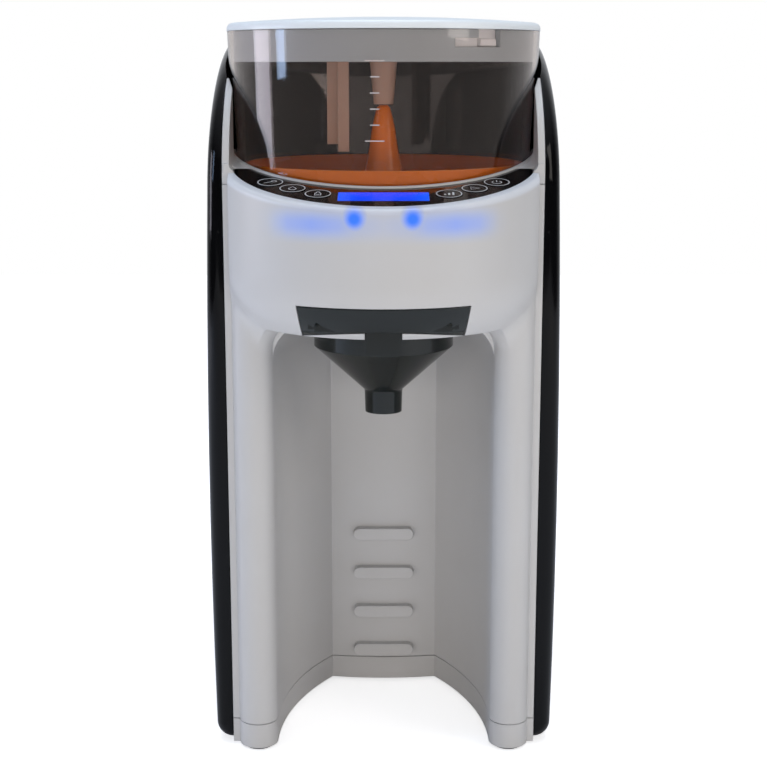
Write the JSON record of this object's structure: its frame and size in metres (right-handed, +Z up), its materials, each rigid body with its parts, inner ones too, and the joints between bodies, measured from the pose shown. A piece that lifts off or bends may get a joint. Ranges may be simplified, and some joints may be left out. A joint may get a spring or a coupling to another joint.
{
  "type": "baby formula maker",
  "caption": "Countertop machine that doses powder from a lidded bowl, mixes it with warm water in a pull-out funnel and fills a bottle in the bay below.",
  "frame": {"origin": "middle of the footprint, on the surface the machine stands on", "axes": "+Z up, front (bottle bay, keys) towards -Y, +X to the viewer's right"},
  "size_m": [0.1668, 0.31, 0.349],
  "materials": {
    "housing_white": "satin moulded plastic",
    "flank_black": "high gloss plastic",
    "tower_black": "fine textured plastic",
    "fascia_black": "gloss film over plastic",
    "display_blue": "clear window over a lit display",
    "key_black": "gloss plastic",
    "smoke_clear": "transparent smoke-tinted plastic",
    "smoke_green": "dark translucent plastic",
    "tank_smoke": "transparent smoke-tinted plastic",
    "collar_grey": "satin plastic",
    "wheel_orange": "gloss plastic",
    "lid_white": "satin plastic",
    "post_natural": "translucent natural plastic",
    "gear_natural": "moulded acetal",
    "seal_silicone": "silicone",
    "foot_rubber": "rubber",
    "hose_silicone": "translucent silicone",
    "steel": "zinc plated steel",
    "aluminium": "cast, satin",
    "board_green": "solder resist on glass fibre",
    "component_black": "moulded epoxy",
    "light_clear": "clear acrylic",
    "dark_plastic": "fine textured plastic"
  },
  "bodies": {
    "main_unit": {"front_housing": "housing_white", "base_tray": "housing_white", "top_bezel": "housing_white", "left_side_panel": "flank_black", "right_side_panel": "flank_black", "rear_housing": "tower_black", "tank_dock": "tower_black", "control_fascia": "fascia_black", "display_window": "display_blue", "control_board": "board_green", "key_switches": "component_black", "light_guide": "light_clear", "gearbox_plate": "dark_plastic", "gear_motor": "steel", "powder_chute": "dark_plastic", "water_nozzle": "dark_plastic", "nozzle_hose": "hose_silicone", "heater_hose": "hose_silicone", "tank_hose": "hose_silicone", "water_heater": "aluminium", "heater_bracket": "steel", "water_pump": "component_black", "pump_mount": "foot_rubber", "main_board": "board_green", "board_parts": "component_black", "funnel_rails": "dark_plastic", "funnel_switch": "component_black", "rubber_feet": "foot_rubber", "base_screws": "steel", "cord_gland": "foot_rubber", "dock_seal": "seal_silicone", "dock_pin": "dark_plastic"},
    "drive": {"drive_gear": "gear_natural"},
    "idler": {"idler_gear": "gear_natural"},
    "pinion": {"motor_pinion": "gear_natural"},
    "bowl": {"bowl_shell": "smoke_clear", "bowl_collar": "collar_grey"},
    "wheel": {"powder_wheel": "wheel_orange"},
    "lid_ring": {"lid_seal": "seal_silicone"},
    "lid": {"lid_cap": "lid_white", "lid_posts": "post_natural"},
    "tank": {"tank_shell": "tank_smoke", "tank_hinge_pin": "steel", "tank_valve": "dark_plastic"},
    "tank_cover": {"tank_lid": "tank_smoke"},
    "plunger": {"valve_plunger": "dark_plastic"},
    "funnel": {"funnel_cover": "smoke_green", "mixing_funnel": "smoke_green"},
    "key_settings": {"key_settings": "key_black"},
    "key_water": {"key_water": "key_black"},
    "key_bottle": {"key_bottle": "key_black"},
    "key_volume": {"key_volume": "key_black"},
    "key_start": {"key_start": "key_black"},
    "key_power": {"key_power": "key_black"}
  },
  "joints": [
    {"name": "bowl_lift", "type": "slide", "parent": "main_unit", "child": "bowl", "axis": [0, 0, 1], "range_m": [0, 0.11]},
    {"name": "wheel_spin", "type": "hinge", "parent": "bowl", "child": "wheel", "pos_m": [0, -0.05, 0.252], "axis": [0, 0, 1], "continuous": true},
    {"name": "drive_spin", "type": "hinge", "parent": "main_unit", "child": "drive", "pos_m": [0, -0.05, 0.238], "axis": [0, 0, 1], "continuous": true},
    {"name": "idler_spin", "type": "hinge", "parent": "main_unit", "child": "idler", "pos_m": [0, -0.02125, 0.238], "axis": [0, 0, 1], "continuous": true},
    {"name": "pinion_spin", "type": "hinge", "parent": "main_unit", "child": "pinion", "pos_m": [0, 0, 0.238], "axis": [0, 0, 1], "continuous": true},
    {"name": "lid_lift", "type": "slide", "parent": "bowl", "child": "lid_ring", "axis": [0, 0, 1], "range_m": [0, 0.08]},
    {"name": "lid_twist", "type": "hinge", "parent": "lid_ring", "child": "lid", "pos_m": [0, -0.05, 0.337], "axis": [0, 0, 1], "range_deg": [-9.5, 0]},
    {"name": "tank_lift", "type": "slide", "parent": "main_unit", "child": "tank", "axis": [0, 0, 1], "range_m": [0, 0.06]},
    {"name": "tank_lid_hinge", "type": "hinge", "parent": "tank", "child": "tank_cover", "pos_m": [0, 0.144, 0.3295], "axis": [-1, 0, 0], "range_deg": [0, 100]},
    {"name": "valve_press", "type": "slide", "parent": "tank", "child": "plunger", "axis": [0, 0, 1], "range_m": [0, 0.002], "stiffness_N_per_m": 150, "springref_m": -0.003},
    {"name": "funnel_slide", "type": "slide", "parent": "main_unit", "child": "funnel", "axis": [0, -1, 0], "range_m": [0, 0.115]},
    {"name": "press_settings", "type": "slide", "parent": "main_unit", "child": "key_settings", "axis": [0, 0.2079, -0.9781], "range_m": [0, 0.0005], "stiffness_N_per_m": 1500},
    {"name": "press_water", "type": "slide", "parent": "main_unit", "child": "key_water", "axis": [0, 0.2079, -0.9781], "range_m": [0, 0.0005], "stiffness_N_per_m": 1500},
    {"name": "press_bottle", "type": "slide", "parent": "main_unit", "child": "key_bottle", "axis": [0, 0.2079, -0.9781], "range_m": [0, 0.0005], "stiffness_N_per_m": 1500},
    {"name": "press_volume", "type": "slide", "parent": "main_unit", "child": "key_volume", "axis": [0, 0.2079, -0.9781], "range_m": [0, 0.0005], "stiffness_N_per_m": 1500},
    {"name": "press_start", "type": "slide", "parent": "main_unit", "child": "key_start", "axis": [0, 0.2079, -0.9781], "range_m": [0, 0.0005], "stiffness_N_per_m": 1500},
    {"name": "press_power", "type": "slide", "parent": "main_unit", "child": "key_power", "axis": [0, 0.2079, -0.9781], "range_m": [0, 0.0005], "stiffness_N_per_m": 1500}
  ],
  "couplings": [
    {"joint": "drive_spin", "follows": "wheel_spin", "ratio": 1},
    {"joint": "idler_spin", "follows": "wheel_spin", "ratio": -1.0909},
    {"joint": "pinion_spin", "follows": "wheel_spin", "ratio": 2}
  ]
}
